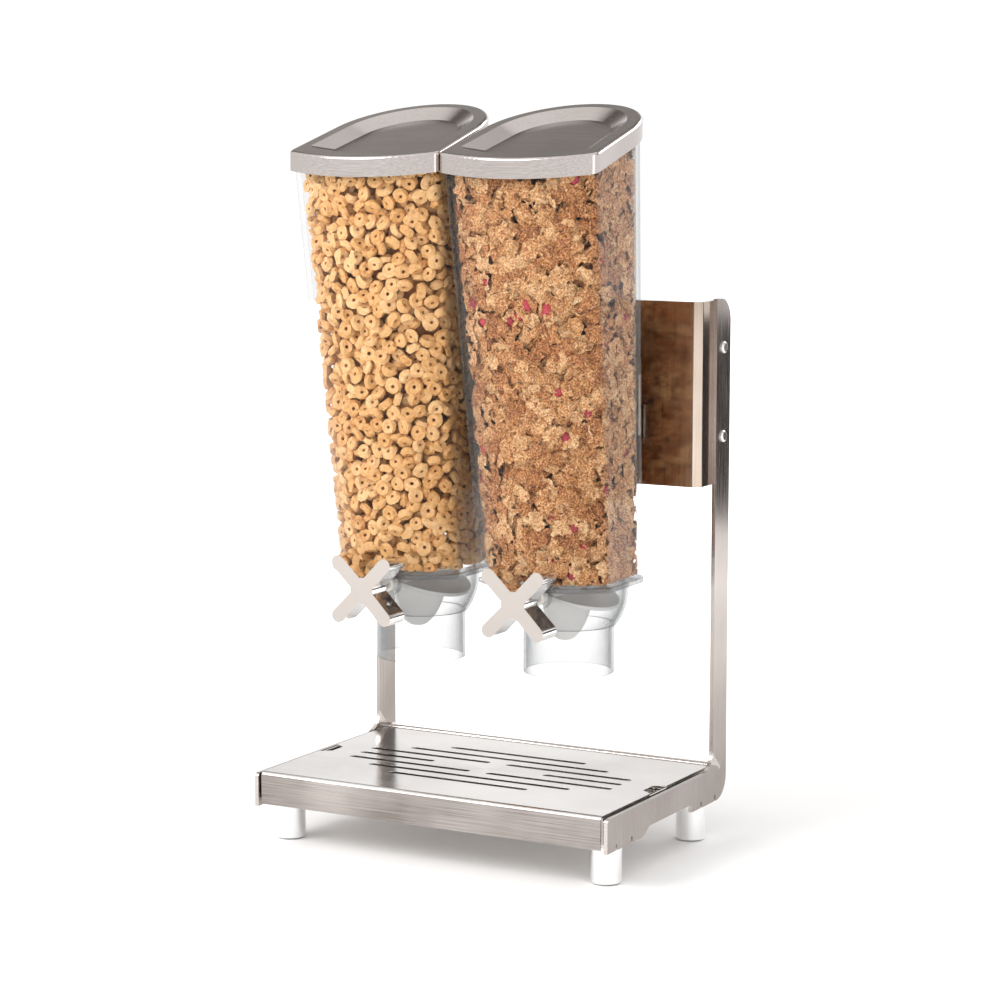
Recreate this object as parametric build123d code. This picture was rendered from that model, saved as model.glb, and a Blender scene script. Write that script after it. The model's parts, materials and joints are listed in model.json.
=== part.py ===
from build123d import *
import math
import os

# Double cereal dispenser on a stainless stand.  Millimetres, +Z up, front at -Y.
# Origin: on the table, midway between the side frames and midway along their depth.

# stand: two flat L-shaped side frames
stand_width = 290.0         # outer face to outer face
base_depth = 195.0
frame_height = 399.0        # top of the uprights
plate_thickness = 3.0
upright_width = 23.5
arm_bottom = 27.5           # underside of the side frames, which is the feet's height
arm_depth = 24.5            # height of the arm at its two ends
arm_relief = 6.0            # how far the arm's underside is raised along its middle
relief_front = 54.6         # front of the arm to where the relief begins
relief_slope = 11.7         # length over which it rises
relief_rear = 58.5          # back of the arm to where it ends
elbow_outer_radius = 17.0
elbow_inner_radius = 15.0
upright_top_radius = 16.0
arm_front_radius = 3.0

# feet
foot_radius = 11.0
foot_inset_x = 14.0         # foot axis to the stand's outer face
foot_inset_front = 26.0     # foot axis to the front of the stand
foot_inset_rear = 31.0
foot_rim = 3.0              # foot's wall round its rubber pad
foot_chamfer = 0.8
tab_length = 22.0           # bent tab under the arm that carries a foot
tab_relief = 2.0            # width of the cut at each end of a tab
tab_relief_rise = 1.5       # height of that cut above the tab
pad_height = 3.0
pad_proud = 0.8
pad_edge = 0.6
foot_screw_radius = 2.0
foot_screw_length = 16.0
countersink = 2.0           # depth of the screw's head, and how much wider it is a side

# cross rod
rod_radius = 2.2
rod_tenon_radius = 1.6
rod_rise = 0.2              # rod axis above the arms' tops
ferrule_wall = 1.8
ferrule_length = 5.0

# crumb tray and its slotted cover
sheet = 1.2
side_gap = 2.5              # cover edge to side frame
cover_rise = 1.5            # cover's top above the arms' tops
cover_bend = 3.5
cover_setback = 0.3         # apron behind the front of the arms
apron_rise = 2.0            # apron's lower edge above the arms' undersides
cover_rear_gap = 6.0        # cover's rear edge to the cross rod
slot_width = 5.0
slot_pitch = 15.3
slot_offset = 3.8           # slot pattern's middle behind the middle of the cover
slot_margin = 29.5          # ends of the longest rows to the cover's edge
slot_step = 26.25           # how much further in the next shorter rows end
slot_bridge = 14.0          # metal left in the middle of a divided row
slot_field = 92.0           # the blank in the middle of the centre row
notch_depth = 8.5
notch_outer = 27.0
notch_inner = 15.0
tray_gap = 2.0              # tray wall to side frame
tray_front_gap = 2.6        # tray wall to the apron's inner face, clear of its bend
tray_rear_gap = 7.0         # tray wall to the cross rod
tray_corner = 3.0
tray_bottom_radius = 2.5
stack_gap = 0.2

# back bracket
bracket_height = 134.0
bracket_top_gap = 1.0       # bracket's top edge below the tops of the uprights
bracket_thickness = 2.0
bracket_reach = 22.0        # front face of the panel ahead of the uprights
bracket_bend = 6.0
bracket_margin = 3.0        # flange behind the rivets' heads
rivet_spacing = 65.0
rivet_radius = 2.4
rivet_head_radius = 4.4
rivet_head_height = 1.7
rivet_tail = 1.0            # height of a rivet's inner head, and its width beyond the shank

# hooks
hook_rise = 36.0            # hanger's lower edge above the bracket's
hook_width = 36.0
hook_plate_width = 64.0
hook_sheet = 1.5
hook_gap = 0.2              # between a hook's tongue, the lip and the plate
hook_behind = 1.1           # tongue to the hanger's back
hook_depth = 20.0
hook_plate_drop = 4.0       # hook plate's lower edge below the lip
hook_clear = 2.0            # tongue's end above the foot of the lip
hook_pad_proud = 0.3        # hook pad behind the canister's rear wall
hook_pad_margin = 4.0       # pad beyond the plate, above and below
hook_pad_root = 24.0        # how far forward the pad starts inside the wall
hanger_height = 44.0
hook_screw_x = 25.0
hook_screw_radius = 2.0
hook_screw_depth = 4.5
screw_head_radius = 3.6
screw_head_height = 1.7
hanger_screw_end = 2.0      # screw's end behind the bracket

# canister: planform at its bottom rim and at the level of the mouth, from the outlet's axis
canister_drop = 99.0        # bottom rim below the hanger's lower edge
canister_height = 290.9     # bottom rim to the lid's skirt at its front corners
mouth_rise = 19.1           # level of the upper planform above that
wall = 3.0
rim_half_width = 52.3
mouth_half_width = 60.25
mouth_rear_taper = 2.25     # how much narrower the mouth is where its back begins
rim_corner_lead = 38.1      # front corners ahead of the outlet's axis
mouth_corner_lead = 78.07
rim_bulge = 22.5            # front face's curve ahead of its corners
mouth_bulge = 13.83
rim_back_start = 9.5        # where the rounded back begins, behind the outlet's axis
mouth_back_start = -18.95
rear_lag = 40.7             # upright rear wall behind the outlet's axis
flange_thickness = 3.0
flange_overhang = 1.0
corner_radius = 5.0
block_rise = 60.0           # spare height above the mouth before the lid's plane trims it

# wheel, bowl and outlet
shaft_clear = 0.2           # bushes' flanges below the canister's flange
bowl_radius = 43.5
bowl_wall = 2.0
outlet_radius = 33.2
outlet_wall = 2.0
outlet_shoulder = 0.42      # middle of the bowl's wall outside the spout
spout_length = 35.0
boss_wall = 4.0
boss_step = 1.0             # rear boss is thinner by this
boss_front_reach = 5.5      # front boss ends ahead of the bowl
boss_rear_reach = 3.5       # rear boss ends behind both the bowl and the canister's flange
boss_root = 8.0             # how far a boss runs into the bowl
shaft_radius = 4.0
running_gap = 0.05
wheel_gap = 3.5
hub_wall = 3.5
hub_inset = 1.5             # hub's ends inside the vanes' round edge
vane_thickness = 2.6
vane_count = 5
bush_wall = 1.0
bush_flange_rim = 0.8
bush_flange = 1.5
bush_inset = 3.0            # bush's inner end inside the bowl's outer face
ring_gap = 0.3
ring_thickness = 1.0
ring_width = 2.2            # retaining ring beyond the shaft
ring_groove = 0.6
ring_opening = 3.0
shaft_tail = 3.0            # shaft beyond the rear bush

# knob
knob_gap = 4.9              # knob's rear face to the canister's front at its rim
knob_depth = 20.0
knob_reach = 32.5
arm_width = 10.5
knob_hub_wall = 5.5
knob_bore_depth = 14.0
knob_dish = 1.0
set_screw_radius = 1.5
set_screw_setback = 5.0     # screw's axis to the knob's rear face
set_screw_inset = 0.3       # screw's end inside the hub's outer face

# lid
lid_tilt = 15.5             # degrees, rear higher
lid_gap = 0.9
lid_spacing = 0.1           # between the two lids
lid_sheet = 0.8
lid_height = 14.0           # height of the skirt
lid_rim_width = 11.0
lid_dish_depth = 6.2
lid_dish_slope = 12.0       # width of the dish's sloping side
lid_bead = 2.6
gasket_thickness = 2.0
gasket_width = 1.6
gasket_edge_gap = 0.3
seat_gap = 0.05

# places that follow from the sizes
half_width = stand_width / 2
inner_face = half_width - plate_thickness
front_y = -base_depth / 2
back_y = base_depth / 2
upright_front = back_y - upright_width
upright_middle = back_y - upright_width / 2
arm_top = arm_bottom + arm_depth
foot_x = half_width - foot_inset_x
foot_y = (front_y + foot_inset_front, back_y - foot_inset_rear)
pad_radius = foot_radius - foot_rim
rod_height = arm_top + rod_rise
cover_top = arm_top + cover_rise
cover_half = inner_face - side_gap
cover_front = front_y + cover_setback
cover_rear = upright_middle - rod_radius - cover_rear_gap
slot_centre_y = (cover_front + cover_rear) / 2 + slot_offset
bracket_front = upright_front - bracket_reach
bracket_low = frame_height - bracket_top_gap - bracket_height
bracket_middle = bracket_low + bracket_height / 2
hanger_back = bracket_front - bracket_thickness
hook_low = bracket_low + hook_rise
pad_face_y = hanger_back - hook_behind - 3 * hook_sheet - 2 * hook_gap
rear_y = pad_face_y - hook_pad_proud
outlet_y = rear_y - rear_lag
rim_height = hook_low - canister_drop
lid_low = rim_height + canister_height
mouth_level = lid_low + mouth_rise
lid_corner_y = outlet_y - mouth_corner_lead
canister_pitch = 2 * (mouth_half_width + lid_gap + lid_sheet) + lid_spacing
wheel_radius = bowl_radius - bowl_wall - wheel_gap
hub_radius = shaft_radius + hub_wall
bush_radius = shaft_radius + bush_wall
bush_flange_radius = bush_radius + bush_flange_rim
shaft_height = rim_height - flange_thickness - shaft_clear - bush_flange_radius
outlet_drop = math.sqrt((bowl_radius - bowl_wall / 2) ** 2 - (outlet_radius + outlet_shoulder) ** 2)
outlet_top = shaft_height - outlet_drop
outlet_bottom = outlet_top - spout_length
boss_radius = bush_radius + boss_wall
boss_front = outlet_y - bowl_radius - boss_front_reach
boss_rear = max(outlet_y + bowl_radius, rear_y + flange_overhang) + boss_rear_reach
knob_hub_radius = shaft_radius + knob_hub_wall
knob_rear = outlet_y - rim_corner_lead - rim_bulge - knob_gap
knob_front = knob_rear - knob_depth
set_screw_y = knob_rear - set_screw_setback
tilt = math.tan(math.radians(lid_tilt))
quarter_round = 0.5523      # handle length that makes a quarter ellipse from one curve


# ---------------------------------------------------------------- outlines

def canister_outline(z, grow=0.0):
    """The D-shaped planform of a canister at height z, moved outwards by grow."""
    share = (z - rim_height) / (mouth_level - rim_height)

    def between(at_rim, at_mouth):
        return at_rim + (at_mouth - at_rim) * share

    half = between(rim_half_width, mouth_half_width) + grow
    corner = outlet_y - between(rim_corner_lead, mouth_corner_lead) - grow
    bulge = between(rim_bulge, mouth_bulge)
    back_half = between(rim_half_width, mouth_half_width - mouth_rear_taper) + grow
    back_start = outlet_y + between(rim_back_start, mouth_back_start)
    with BuildSketch(Plane.XY.offset(z)) as sketch:
        with BuildLine():
            ThreePointArc((-half, corner), (0, corner - bulge), (half, corner))
            Line((half, corner), (back_half, back_start))
            rear = rear_y + grow
            along = (rear - back_start) * quarter_round
            across = back_half * quarter_round
            lean = (back_half - half) / (back_start - corner) * along
            handle = (back_half + lean, back_start + along)
            Bezier((back_half, back_start), handle, (across, rear), (0, rear))
            Bezier((0, rear), (-across, rear), (-handle[0], handle[1]), (-back_half, back_start))
            Line((-back_half, back_start), (-half, corner))
        make_face()
        corners = sketch.vertices().sort_by(Axis.Y)[:2]
        fillet(corners, corner_radius + max(grow, -2.0))
    return sketch.sketch.faces()[0]


def canister_block(z_low, z_high, grow=0.0):
    """A solid with the canister's leaning shape between two heights."""
    return loft([canister_outline(z_low, grow), canister_outline(z_high, grow)], ruled=True)


def below_lid_plane(above):
    """Everything under the tilted plane that lies above the skirt's lower edge by above."""
    z = lid_low + above
    reach = 2 * mouth_corner_lead
    profile = Plane.YZ * Polyline(
        (lid_corner_y - reach, z - reach * tilt), (lid_corner_y + reach, z + reach * tilt),
        (lid_corner_y + reach, 0), (lid_corner_y - reach, 0), close=True)
    return extrude(make_face(profile), amount=canister_pitch, both=True)


def upright_lid_block(grow):
    """The lid's outline, pushed straight up past its tilted top."""
    outline = canister_outline(mouth_level, lid_gap + grow)
    return extrude(Pos(0, 0, -block_rise) * outline, amount=2 * block_rise)


def cylinder_y(radius, y_from, y_to, z):
    """A cylinder along Y at x = 0."""
    middle = (y_from + y_to) / 2
    return Pos(0, middle, z) * Rot(90, 0, 0) * Cylinder(radius, abs(y_to - y_from))


def cylinder_x(radius, x_from, x_to, y, z):
    middle = (x_from + x_to) / 2
    return Pos(middle, y, z) * Rot(0, 90, 0) * Cylinder(radius, abs(x_to - x_from))


def box_between(low, high):
    """A box given by its lowest and highest corners."""
    size = [b - a for a, b in zip(low, high)]
    centre = [(a + b) / 2 for a, b in zip(low, high)]
    return Pos(*centre) * Box(*size)


# ---------------------------------------------------------------- stand

def side_frame(side):
    """One flat L plate with two bent tabs for the feet; side is -1 or 1."""
    start = front_y + relief_front
    end = back_y - relief_rear
    raised = arm_bottom + arm_relief
    outline = [(front_y, arm_bottom), (start, arm_bottom), (start + relief_slope, raised),
               (end, raised), (end, arm_bottom), (back_y, arm_bottom),
               (back_y, frame_height), (upright_front, frame_height), (upright_front, arm_top),
               (front_y, arm_top)]
    face = make_face(Plane.YZ * Polyline(*outline, close=True))
    plate = Pos(inner_face, 0, 0) * extrude(face, amount=plate_thickness)
    edges = plate.edges().filter_by(Axis.X)

    def edge_at(y, z):
        return [e for e in edges if abs(e.center().Y - y) < 0.01 and abs(e.center().Z - z) < 0.01]

    plate = fillet(edge_at(back_y, arm_bottom), elbow_outer_radius)
    edges = plate.edges().filter_by(Axis.X)
    plate = fillet(edge_at(upright_front, arm_top), elbow_inner_radius)
    edges = plate.edges().filter_by(Axis.X)
    plate = fillet(edge_at(back_y, frame_height), upright_top_radius)
    edges = plate.edges().filter_by(Axis.X)
    plate = fillet(edge_at(front_y, arm_top), arm_front_radius)
    for y in foot_y:
        tab = box_between((foot_x - foot_radius, y - tab_length / 2, arm_bottom),
                          (inner_face, y + tab_length / 2, arm_bottom + plate_thickness))
        plate += tab
        plate -= Pos(foot_x, y, arm_bottom) * foot_screw(0)
        for end in (-1, 1):
            relief_y = y + end * (tab_length + tab_relief) / 2
            relief_top = arm_bottom + plate_thickness + tab_relief_rise
            plate -= box_between((inner_face - 1, relief_y - tab_relief / 2, arm_bottom - 1),
                                 (half_width + 1, relief_y + tab_relief / 2, relief_top))
    plate -= cylinder_x(rod_tenon_radius, inner_face - 1, half_width + 1, upright_middle, rod_height)
    for z in rivet_heights():
        plate -= cylinder_x(rivet_radius, inner_face - 1, half_width + 1, upright_middle, z)
    return plate if side > 0 else mirror(plate, Plane.YZ)


def rivet_heights():
    return [bracket_middle - rivet_spacing / 2, bracket_middle + rivet_spacing / 2]


def foot_screw(length):
    """A countersunk screw whose head is flush with the top of a tab; z = 0 is the tab's underside."""
    shank_top = plate_thickness - countersink
    head = Pos(0, 0, shank_top + countersink / 2) * Cone(foot_screw_radius,
                                                        foot_screw_radius + countersink, countersink)
    shank = Pos(0, 0, (shank_top - length) / 2) * Cylinder(foot_screw_radius, shank_top + length)
    return head + shank


def foot():
    """A turned foot with a recess for its rubber pad; z = 0 is the floor."""
    body = Pos(0, 0, (arm_bottom + pad_proud) / 2) * Cylinder(foot_radius, arm_bottom - pad_proud)
    body = chamfer(body.edges().group_by(Axis.Z)[0], foot_chamfer)
    body -= Pos(0, 0, pad_height / 2) * Cylinder(pad_radius, pad_height)
    return body - Pos(0, 0, arm_bottom - foot_screw_length / 2) * Cylinder(foot_screw_radius,
                                                                           foot_screw_length)


def foot_pad():
    pad = Pos(0, 0, pad_height / 2) * Cylinder(pad_radius, pad_height)
    return fillet(pad.edges().group_by(Axis.Z)[0], pad_edge)


def cross_rod():
    rod = cylinder_x(rod_radius, -inner_face, inner_face, upright_middle, rod_height)
    return rod + cylinder_x(rod_tenon_radius, -half_width, half_width, upright_middle, rod_height)


def rod_ferrules():
    rings = []
    for side in (-1, 1):
        ring = cylinder_x(rod_radius + ferrule_wall, side * inner_face,
                          side * (inner_face - ferrule_length), upright_middle, rod_height)
        rings.append(ring - cross_rod())
    return Compound(rings)


def back_bracket():
    """A folded channel between the uprights, its web standing forward of them."""
    rear = upright_middle + rivet_head_radius + bracket_margin
    outer = make_face(Polyline((-inner_face, rear), (-inner_face, bracket_front),
                               (inner_face, bracket_front), (inner_face, rear), close=True))
    outer = extrude(Pos(0, 0, bracket_low) * outer, amount=bracket_height)
    front_edges = outer.edges().filter_by(Axis.Z).group_by(Axis.Y)[0]
    outer = fillet(front_edges, bracket_bend)
    inside = box_between(
        (-inner_face + bracket_thickness, bracket_front + bracket_thickness, bracket_low - 1),
        (inner_face - bracket_thickness, rear + 1, bracket_low + bracket_height + 1))
    front_edges = inside.edges().filter_by(Axis.Z).group_by(Axis.Y)[0]
    inside = fillet(front_edges, bracket_bend - bracket_thickness)
    bracket = outer - inside
    for z in rivet_heights():
        bracket -= cylinder_x(rivet_radius, -half_width, half_width, upright_middle, z)
    for x in canister_centres():
        for dx in (-hook_screw_x, hook_screw_x):
            bracket -= Pos(x + dx, 0, 0) * cylinder_y(hook_screw_radius, bracket_front - 1,
                                                      bracket_front + bracket_thickness + 1,
                                                      hanger_screw_height())
    return bracket


def bracket_rivets(side):
    """Two domed rivets through an upright and the bracket's flange."""
    rivets = []
    for z in rivet_heights():
        rivet = cylinder_x(rivet_radius, inner_face - bracket_thickness, half_width, upright_middle, z)
        dome = cylinder_x(rivet_head_radius, half_width, half_width + rivet_head_height,
                          upright_middle, z)
        outer_edge = dome.edges().filter_by(GeomType.CIRCLE).sort_by(Axis.X)[-1]
        dome = fillet(outer_edge, 0.9 * rivet_head_height)
        tail = cylinder_x(rivet_radius + rivet_tail, inner_face - bracket_thickness - rivet_tail,
                          inner_face - bracket_thickness, upright_middle, z)
        rivet = rivet + dome + tail
        rivets.append(rivet if side > 0 else mirror(rivet, Plane.YZ))
    return Compound(rivets)


# ---------------------------------------------------------------- crumb tray

def slot_rows():
    """X ranges of the slots, row by row from the back."""
    long, middle, short = [cover_half - slot_margin - slot_step * n for n in range(3)]
    gap = slot_bridge / 2
    divided = [(-long, -gap), (gap, long)]
    centre = [(-long, -slot_field / 2), (slot_field / 2, long)]
    whole = [[(-short, short)], [(-middle, middle)]]
    return whole + [divided, centre, divided] + whole[::-1]


def tray_cover():
    """One folded sheet: slotted top, rounded front bend and front apron."""
    outer = box_between((-cover_half, cover_front, arm_bottom + apron_rise),
                        (cover_half, cover_rear, cover_top))
    bend = outer.edges().filter_by(Axis.X).group_by(Axis.Z)[-1].sort_by(Axis.Y)[0]
    outer = fillet(bend, cover_bend)
    inside = box_between((-cover_half - 1, cover_front + sheet, arm_bottom),
                         (cover_half + 1, cover_rear + 1, cover_top - sheet))
    bend = inside.edges().filter_by(Axis.X).group_by(Axis.Z)[-1].sort_by(Axis.Y)[0]
    inside = fillet(bend, cover_bend - sheet)
    cover = outer - inside
    rows = slot_rows()
    below = cover_top - 2 * sheet
    for number, row in enumerate(rows):
        y = slot_centre_y + ((len(rows) - 1) / 2 - number) * slot_pitch
        for x_from, x_to in row:
            slot = SlotOverall(x_to - x_from, slot_width)
            cover -= extrude(Pos((x_from + x_to) / 2, y, below) * slot, amount=3 * sheet)
    for side in (-1, 1):
        edge = side * (cover_half + 1)
        deep = side * (cover_half - notch_depth)
        notch = make_face(Polyline((edge, slot_centre_y - notch_outer / 2 - 1),
                                   (edge, slot_centre_y + notch_outer / 2 + 1),
                                   (deep, slot_centre_y + notch_inner / 2),
                                   (deep, slot_centre_y - notch_inner / 2), close=True))
        cover -= extrude(Pos(0, 0, below) * notch, amount=3 * sheet)
    return cover


def crumb_tray():
    """An open sheet pan that stands on the foot tabs under the cover."""
    x = inner_face - tray_gap
    low = arm_bottom + plate_thickness
    high = cover_top - sheet - stack_gap
    front = cover_front + sheet + tray_front_gap
    rear = upright_middle - rod_radius - tray_rear_gap
    outer = box_between((-x, front, low), (x, rear, high))
    outer = fillet(outer.edges().filter_by(Axis.Z), tray_corner)
    outer = fillet(outer.edges().group_by(Axis.Z)[0], tray_bottom_radius)
    inside = box_between((-x + sheet, front + sheet, low + sheet), (x - sheet, rear - sheet, high + 1))
    inside = fillet(inside.edges().filter_by(Axis.Z), tray_corner - sheet)
    inside = fillet(inside.edges().group_by(Axis.Z)[0], tray_bottom_radius - sheet)
    return outer - inside


# ---------------------------------------------------------------- hooks

def hanger_screw_height():
    return hook_low + hanger_height / 2


def canister_centres():
    return (-canister_pitch / 2, canister_pitch / 2)


def hook_layers():
    """Y positions of the hooks' sheets, from the canister backwards."""
    plate = pad_face_y
    lip = plate + hook_sheet + hook_gap
    tongue = lip + hook_sheet + hook_gap
    return plate, lip, tongue


def canister_hook():
    """A folded plate on the canister whose tongue hangs down behind the hanger's lip."""
    plate, lip, tongue = hook_layers()
    top = hook_low + hook_depth
    hook = box_between((-hook_plate_width / 2, plate, hook_low - hook_plate_drop),
                       (hook_plate_width / 2, plate + hook_sheet, top + hook_sheet))
    hook += box_between((-hook_width / 2, plate, top),
                        (hook_width / 2, tongue + hook_sheet, top + hook_sheet))
    hook += box_between((-hook_width / 2, tongue, hook_low + hook_sheet + hook_clear),
                        (hook_width / 2, tongue + hook_sheet, top))
    for dx in (-hook_screw_x, hook_screw_x):
        hook -= Pos(dx, 0, 0) * cylinder_y(hook_screw_radius, plate - 1, plate + hook_sheet + 1,
                                           hook_screw_height())
    return hook


def hook_screw_height():
    return hook_low + hook_depth / 2


def hook_screws():
    plate = pad_face_y
    screws = []
    for dx in (-hook_screw_x, hook_screw_x):
        shank = cylinder_y(hook_screw_radius, plate - hook_screw_depth, plate + hook_sheet,
                           hook_screw_height())
        head = cylinder_y(screw_head_radius, plate + hook_sheet,
                          plate + hook_sheet + screw_head_height, hook_screw_height())
        screws.append(Pos(dx, 0, 0) * (shank + head))
    return Compound(screws)


def hanger():
    """A folded plate screwed to the bracket, with an upturned lip that carries the canister."""
    _, lip, _ = hook_layers()
    part = box_between((-hook_plate_width / 2, hanger_back, hook_low),
                       (hook_plate_width / 2, bracket_front, hook_low + hanger_height))
    part += box_between((-hook_width / 2, lip, hook_low),
                        (hook_width / 2, hanger_back, hook_low + hook_sheet))
    part += box_between((-hook_width / 2, lip, hook_low),
                        (hook_width / 2, lip + hook_sheet, hook_low + hook_depth - hook_gap))
    for dx in (-hook_screw_x, hook_screw_x):
        part -= Pos(dx, 0, 0) * cylinder_y(hook_screw_radius, hanger_back - 1, bracket_front + 1,
                                           hanger_screw_height())
    return part


def hanger_screws():
    screws = []
    end = bracket_front + bracket_thickness + hanger_screw_end
    for x in canister_centres():
        for dx in (-hook_screw_x, hook_screw_x):
            shank = cylinder_y(hook_screw_radius, hanger_back, end, hanger_screw_height())
            head = cylinder_y(screw_head_radius, hanger_back - screw_head_height, hanger_back,
                              hanger_screw_height())
            screws.append(Pos(x + dx, 0, 0) * (shank + head))
    return Compound(screws)


# ---------------------------------------------------------------- canister

def canister_body():
    """Clear hopper: leaning front, upright rounded back, open at the top and the bottom."""
    top = below_lid_plane(lid_height - lid_sheet - gasket_thickness - seat_gap)
    outer = canister_block(rim_height, mouth_level + block_rise) & top
    pad_low = hook_low - hook_plate_drop - hook_pad_margin
    pad_high = hook_low + hook_depth + hook_sheet + hook_pad_margin
    outer += box_between((-hook_plate_width / 2 - 1, pad_face_y - hook_pad_root, pad_low),
                         (hook_plate_width / 2 + 1, pad_face_y, pad_high))
    inner = canister_block(rim_height - 1, mouth_level + block_rise + 1, -wall)
    body = outer - inner
    for dx in (-hook_screw_x, hook_screw_x):
        body -= Pos(dx, 0, 0) * cylinder_y(hook_screw_radius, pad_face_y - hook_screw_depth,
                                           pad_face_y + 1, hook_screw_height())
    return body


def wheel_housing():
    """Bowl under the canister: a bonded flange, a ball-shaped bowl and two shaft bosses."""
    centre = Pos(0, outlet_y, shaft_height)
    flange_face = canister_outline(rim_height, flange_overhang)
    flange = extrude(Pos(0, 0, -flange_thickness) * flange_face, amount=flange_thickness)
    bowl = centre * Sphere(bowl_radius)
    reach = 2 * bowl_radius
    bowl &= box_between((-reach, outlet_y - reach, outlet_top),
                        (reach, outlet_y + reach, rim_height - flange_thickness / 2))
    housing = flange + bowl
    housing += cylinder_y(boss_radius, boss_front, outlet_y - bowl_radius + boss_root, shaft_height)
    housing += cylinder_y(boss_radius - boss_step, outlet_y + bowl_radius - boss_root, boss_rear,
                          shaft_height)
    housing -= centre * Sphere(bowl_radius - bowl_wall)
    housing -= cylinder_y(bush_radius, boss_front - 1, outlet_y, shaft_height)
    housing -= cylinder_y(bush_radius, outlet_y, boss_rear + 1, shaft_height)
    return housing


def outlet_spout():
    """Clear tube under the bowl."""
    middle = Pos(0, outlet_y, outlet_bottom + spout_length / 2)
    tube = middle * Cylinder(outlet_radius, spout_length)
    return tube - middle * Cylinder(outlet_radius - outlet_wall, spout_length + 2)


def front_bush():
    bush = cylinder_y(bush_radius, boss_front, outlet_y - bowl_radius + bush_inset, shaft_height)
    bush += cylinder_y(bush_flange_radius, boss_front - bush_flange, boss_front, shaft_height)
    return bush - cylinder_y(shaft_radius + running_gap, boss_front - bush_flange - 1, outlet_y,
                             shaft_height)


def rear_bush():
    bush = cylinder_y(bush_radius, outlet_y + bowl_radius - bush_inset, boss_rear, shaft_height)
    bush += cylinder_y(bush_flange_radius, boss_rear, boss_rear + bush_flange, shaft_height)
    return bush - cylinder_y(shaft_radius + running_gap, outlet_y, boss_rear + bush_flange + 1,
                             shaft_height)


# ---------------------------------------------------------------- turning parts

def drive_shaft():
    rear = boss_rear + bush_flange + shaft_tail
    shaft = cylinder_y(shaft_radius, knob_rear - knob_bore_depth, rear, shaft_height)
    ring_y = retaining_ring_y()
    groove = cylinder_y(shaft_radius + 1, ring_y, ring_y + ring_thickness, shaft_height)
    groove -= cylinder_y(shaft_radius - ring_groove, ring_y - 1, ring_y + ring_thickness + 1,
                         shaft_height)
    return shaft - groove


def retaining_ring_y():
    return boss_rear + bush_flange + ring_gap


def retaining_ring():
    ring_y = retaining_ring_y()
    ring = cylinder_y(shaft_radius + ring_width, ring_y, ring_y + ring_thickness, shaft_height)
    ring -= cylinder_y(shaft_radius - ring_groove, ring_y - 1, ring_y + ring_thickness + 1,
                       shaft_height)
    half = ring_opening / 2
    return ring - box_between((-half, ring_y - 1, shaft_height - shaft_radius - ring_width - 1),
                              (half, ring_y + ring_thickness + 1, shaft_height - 1))


def paddle_wheel():
    """Soft wheel of half-disc vanes that turns inside the bowl."""
    centre = Pos(0, outlet_y, shaft_height)
    wheel = centre * Rot(90, 0, 0) * Cylinder(hub_radius, 2 * (wheel_radius - hub_inset))
    for number in range(vane_count):
        vane = Pos(0, 0, -wheel_radius / 2) * Box(vane_thickness, 2 * wheel_radius, wheel_radius)
        wheel += centre * Rot(0, 360.0 / vane_count * number, 0) * vane
    wheel = wheel & (centre * Sphere(wheel_radius))
    return wheel - cylinder_y(shaft_radius, outlet_y - bowl_radius, outlet_y + bowl_radius,
                              shaft_height)


def knob():
    """A cross of four arms with rounded ends and a dished front."""
    with BuildSketch(Plane.XZ) as sketch:
        for angle in (45, -45):
            with Locations(Rot(0, 0, angle)):
                SlotOverall(2 * knob_reach, arm_width)
    shape = extrude(sketch.sketch, amount=-knob_depth)
    shape = Pos(0, knob_front, shaft_height) * shape
    shape += cylinder_y(knob_hub_radius, knob_front, knob_rear, shaft_height)
    dish_radius = (knob_reach ** 2 + knob_dish ** 2) / (2 * knob_dish)
    shape -= Pos(0, knob_front - dish_radius + knob_dish, shaft_height) * Sphere(dish_radius)
    shape -= cylinder_y(shaft_radius, knob_rear - knob_bore_depth, knob_rear + 1, shaft_height)
    return shape - set_screw_rod(knob_hub_radius + 1)


def set_screw_rod(reach):
    """A rod from the shaft's axis downwards, at the set screw's place."""
    return Pos(0, set_screw_y, shaft_height - reach / 2) * Cylinder(set_screw_radius, reach)


def knob_set_screw():
    screw = set_screw_rod(knob_hub_radius - set_screw_inset)
    return screw - cylinder_y(shaft_radius, knob_front, knob_rear, shaft_height)


# ---------------------------------------------------------------- lid

def lid_dish(grow):
    """The tapered hollow pressed into the lid's top, as a solid, grown outwards by grow."""
    slope = math.radians(lid_tilt)
    tilted = Plane((0, lid_corner_y, lid_low + lid_height), x_dir=(1, 0, 0),
                   z_dir=(0, -math.sin(slope), math.cos(slope)))

    def face(inset, depth):
        flat = canister_outline(mouth_level, lid_gap + lid_sheet - inset + grow)
        stretched = scale(flat, by=(1, 1 / math.cos(slope), 1))
        level = -mouth_level - depth
        return tilted * Pos(0, -lid_corner_y / math.cos(slope), level) * stretched

    top = face(lid_rim_width - 1, -lid_dish_depth / lid_dish_slope)
    bottom = face(lid_rim_width + lid_dish_slope, lid_dish_depth + grow)
    return loft([bottom, top], ruled=True)


def lid_cover():
    """Pressed lid: upright skirt, rolled rim and a dish in the top."""
    block = upright_lid_block(lid_sheet) & below_lid_plane(lid_height)
    block = round_top(block, lid_bead) - below_lid_plane(0)
    hollow = upright_lid_block(0) & below_lid_plane(lid_height - lid_sheet)
    hollow = round_top(hollow, lid_bead - lid_sheet) - lid_dish(lid_sheet)
    return block - lid_dish(0) - hollow


def round_top(block, radius):
    """Round the edges of a block's tilted top."""
    top = block.faces().sort_by(lambda face: face.normal_at().Z)[-1]
    return fillet(top.edges(), radius)


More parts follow.
